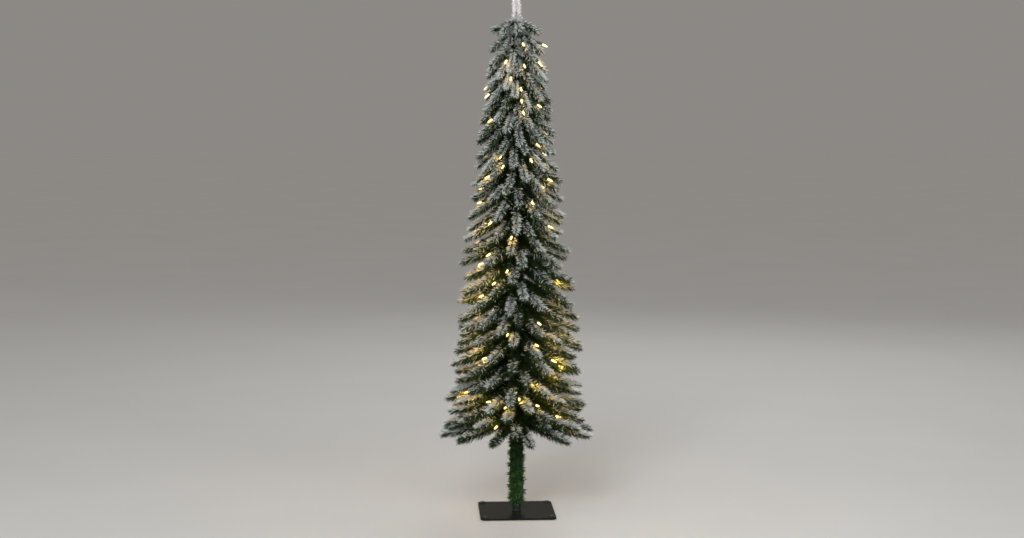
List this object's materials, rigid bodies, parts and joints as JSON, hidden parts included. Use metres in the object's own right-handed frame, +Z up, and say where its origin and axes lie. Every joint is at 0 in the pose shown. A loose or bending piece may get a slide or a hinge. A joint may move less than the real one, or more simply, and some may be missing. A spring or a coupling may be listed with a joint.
{
  "type": "pre-lit artificial tree",
  "caption": "Slim flocked artificial fir with downswept bottle-brush tips, warm mini lights, a garlanded sectional trunk and a flat square metal base.",
  "frame": {"origin": "on the floor, under the centre of the square base plate and the trunk's axis", "axes": "+Z up along the trunk; -Y is the tree's front, and the plate's sides lie along X and Y"},
  "size_m": [0.454, 0.454, 1.524],
  "materials": {
    "plate_paint": "semi-gloss dark slate paint",
    "pole_paint": "satin dark green-black paint",
    "screw_metal": "satin",
    "washer_rubber": "matt",
    "pad_rubber": "matt",
    "bush_plastic": "matt",
    "garland_needles": "cut PVC needles",
    "binding_needles": "wound tape and needles",
    "flocked_needles": "green PVC needles under white flock",
    "string_green": "matt green",
    "bulb_glass": "clear, lit warm white",
    "filament_metal": "glowing filament on a glass stem"
  },
  "bodies": {
    "base": {"base_plate": "plate_paint", "base_spigot": "plate_paint", "foot_pads": "pad_rubber", "foot_screws": "screw_metal", "foot_washers": "washer_rubber"},
    "foot_bush": {"foot_bush": "bush_plastic"},
    "lower_section": {"lower_pole": "pole_paint", "trunk_garland": "garland_needles", "lower_binding": "binding_needles", "joint_bush": "bush_plastic", "string_socket": "string_green", "lower_lamp_leads": "string_green", "lower_lamp_holders": "string_green", "lower_bulbs": "bulb_glass", "lower_filaments": "filament_metal", "tip_tier_01": "flocked_needles", "tip_tier_02": "flocked_needles", "tip_tier_03": "flocked_needles", "tip_tier_04": "flocked_needles", "tip_tier_05": "flocked_needles", "tip_tier_06": "flocked_needles", "tip_tier_07": "flocked_needles"},
    "upper_section": {"upper_pole": "pole_paint", "upper_binding": "binding_needles", "pole_cap": "bush_plastic", "string_plug": "string_green", "upper_lamp_leads": "string_green", "upper_lamp_holders": "string_green", "upper_bulbs": "bulb_glass", "upper_filaments": "filament_metal", "tip_tier_08": "flocked_needles", "tip_tier_09": "flocked_needles", "tip_tier_10": "flocked_needles", "tip_tier_11": "flocked_needles", "tip_tier_12": "flocked_needles", "tip_tier_13": "flocked_needles", "tip_tier_14": "flocked_needles", "tip_tier_15": "flocked_needles", "tip_tier_16": "flocked_needles", "tip_tier_17": "flocked_needles"},
    "leader": {"leader_tip": "flocked_needles"},
    "bottom_tip_1": {"bottom_tip_1": "flocked_needles"},
    "bottom_tip_10": {"bottom_tip_10": "flocked_needles"},
    "bottom_tip_11": {"bottom_tip_11": "flocked_needles"},
    "bottom_tip_12": {"bottom_tip_12": "flocked_needles"},
    "bottom_tip_2": {"bottom_tip_2": "flocked_needles"},
    "bottom_tip_3": {"bottom_tip_3": "flocked_needles"},
    "bottom_tip_4": {"bottom_tip_4": "flocked_needles"},
    "bottom_tip_5": {"bottom_tip_5": "flocked_needles"},
    "bottom_tip_6": {"bottom_tip_6": "flocked_needles"},
    "bottom_tip_7": {"bottom_tip_7": "flocked_needles"},
    "bottom_tip_8": {"bottom_tip_8": "flocked_needles"},
    "bottom_tip_9": {"bottom_tip_9": "flocked_needles"}
  },
  "joints": [
    {"name": "trunk_turn", "type": "hinge", "parent": "base", "child": "foot_bush", "pos_m": [0, 0, 0.04], "axis": [0, 0, 1], "continuous": true},
    {"name": "trunk_lift", "type": "slide", "parent": "foot_bush", "child": "lower_section", "axis": [0, 0, 1], "range_m": [0, 0.12]},
    {"name": "upper_lift", "type": "slide", "parent": "lower_section", "child": "upper_section", "axis": [0, 0, 1], "range_m": [0, 0.1]},
    {"name": "leader_bend", "type": "hinge", "parent": "upper_section", "child": "leader", "pos_m": [0, 0, 1.4451], "axis": [0, 1, 0], "range_deg": [-40, 40]},
    {"name": "bottom_tip_1_bend", "type": "hinge", "parent": "lower_section", "child": "bottom_tip_1", "pos_m": [0.01703, 0.0024, 0.27], "axis": [-0.1393, 0.9902, 0], "range_deg": [-5, 35]},
    {"name": "bottom_tip_2_bend", "type": "hinge", "parent": "lower_section", "child": "bottom_tip_2", "pos_m": [0.01355, 0.01059, 0.27], "axis": [-0.6158, 0.7879, 0], "range_deg": [-5, 35]},
    {"name": "bottom_tip_3_bend", "type": "hinge", "parent": "lower_section", "child": "bottom_tip_3", "pos_m": [0.00644, 0.01595, 0.27], "axis": [-0.9272, 0.3744, 0], "range_deg": [-5, 35]},
    {"name": "bottom_tip_4_bend", "type": "hinge", "parent": "lower_section", "child": "bottom_tip_4", "pos_m": [-0.0024, 0.01703, 0.27], "axis": [-0.9902, -0.1393, 0], "range_deg": [-5, 35]},
    {"name": "bottom_tip_5_bend", "type": "hinge", "parent": "lower_section", "child": "bottom_tip_5", "pos_m": [-0.01059, 0.01355, 0.27], "axis": [-0.7879, -0.6158, 0], "range_deg": [-5, 35]},
    {"name": "bottom_tip_6_bend", "type": "hinge", "parent": "lower_section", "child": "bottom_tip_6", "pos_m": [-0.01595, 0.00644, 0.27], "axis": [-0.3744, -0.9272, 0], "range_deg": [-5, 35]},
    {"name": "bottom_tip_7_bend", "type": "hinge", "parent": "lower_section", "child": "bottom_tip_7", "pos_m": [-0.01703, -0.0024, 0.27], "axis": [0.1393, -0.9902, 0], "range_deg": [-5, 35]},
    {"name": "bottom_tip_8_bend", "type": "hinge", "parent": "lower_section", "child": "bottom_tip_8", "pos_m": [-0.01355, -0.01059, 0.27], "axis": [0.6158, -0.7879, 0], "range_deg": [-5, 35]},
    {"name": "bottom_tip_9_bend", "type": "hinge", "parent": "lower_section", "child": "bottom_tip_9", "pos_m": [-0.00644, -0.01595, 0.27], "axis": [0.9272, -0.3744, 0], "range_deg": [-5, 35]},
    {"name": "bottom_tip_10_bend", "type": "hinge", "parent": "lower_section", "child": "bottom_tip_10", "pos_m": [0.0024, -0.01703, 0.27], "axis": [0.9902, 0.1393, 0], "range_deg": [-5, 35]},
    {"name": "bottom_tip_11_bend", "type": "hinge", "parent": "lower_section", "child": "bottom_tip_11", "pos_m": [0.01059, -0.01355, 0.27], "axis": [0.7879, 0.6158, 0], "range_deg": [-5, 35]},
    {"name": "bottom_tip_12_bend", "type": "hinge", "parent": "lower_section", "child": "bottom_tip_12", "pos_m": [0.01595, -0.00644, 0.27], "axis": [0.3744, 0.9272, 0], "range_deg": [-5, 35]}
  ]
}
